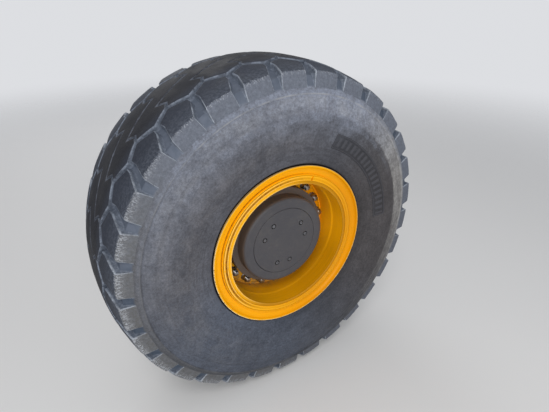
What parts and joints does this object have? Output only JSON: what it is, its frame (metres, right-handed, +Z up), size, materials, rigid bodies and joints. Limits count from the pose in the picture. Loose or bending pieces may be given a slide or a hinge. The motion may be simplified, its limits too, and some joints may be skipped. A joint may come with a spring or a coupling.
{
  "type": "loader wheel with planetary hub",
  "caption": "Lugged earthmover tyre on a multi-piece rim, with its planetary hub turning on a flanged axle arm end.",
  "frame": {"origin": "centre of the axle arm's mounting face", "axes": "+Y along the wheel's axis towards the axle's middle, +X to the rear of the machine, +Z up; the open side of the wheel faces -Y"},
  "size_m": [1.567, 0.826, 1.567],
  "materials": {
    "tyre_rubber": "dusty, worn",
    "rim_paint": "gloss enamel, chipped at the edges",
    "hub_paint": "satin",
    "arm_paint": "satin, oily dust",
    "fastener_steel": "blackened",
    "bearing_steel": "ground",
    "gear_steel": "machined, oiled",
    "seal_rubber": "matte",
    "valve_brass": "dull"
  },
  "bodies": {
    "axle_end": {"axle_arm": "arm_paint", "brake_housing": "arm_paint", "brake_bolts": "fastener_steel", "breather": "valve_brass", "spindle": "bearing_steel"},
    "wheel": {"tyre": "tyre_rubber", "rim_base": "rim_paint", "bead_seat_band": "rim_paint", "side_ring_outboard": "rim_paint", "side_ring_inboard": "rim_paint", "lock_ring": "rim_paint", "wheel_disc": "rim_paint", "valve": "valve_brass", "hub_body": "hub_paint", "hub_seal": "seal_rubber", "inner_bearing": "bearing_steel", "outer_bearing": "bearing_steel", "planet_housing": "hub_paint", "planet_gears": "gear_steel", "hub_cover": "hub_paint", "cover_screws": "hub_paint", "housing_screws": "fastener_steel", "wheel_studs": "fastener_steel", "wheel_nuts": "fastener_steel"},
    "shaft": {"half_shaft": "gear_steel"}
  },
  "joints": [
    {"name": "wheel_spin", "type": "hinge", "parent": "axle_end", "child": "wheel", "pos_m": [0, -0.48, 0], "axis": [0, 1, 0], "continuous": true},
    {"name": "shaft_spin", "type": "hinge", "parent": "axle_end", "child": "shaft", "pos_m": [0, -0.3, 0], "axis": [0, 1, 0], "continuous": true}
  ],
  "couplings": [
    {"joint": "shaft_spin", "follows": "wheel_spin", "ratio": 4.8333}
  ]
}
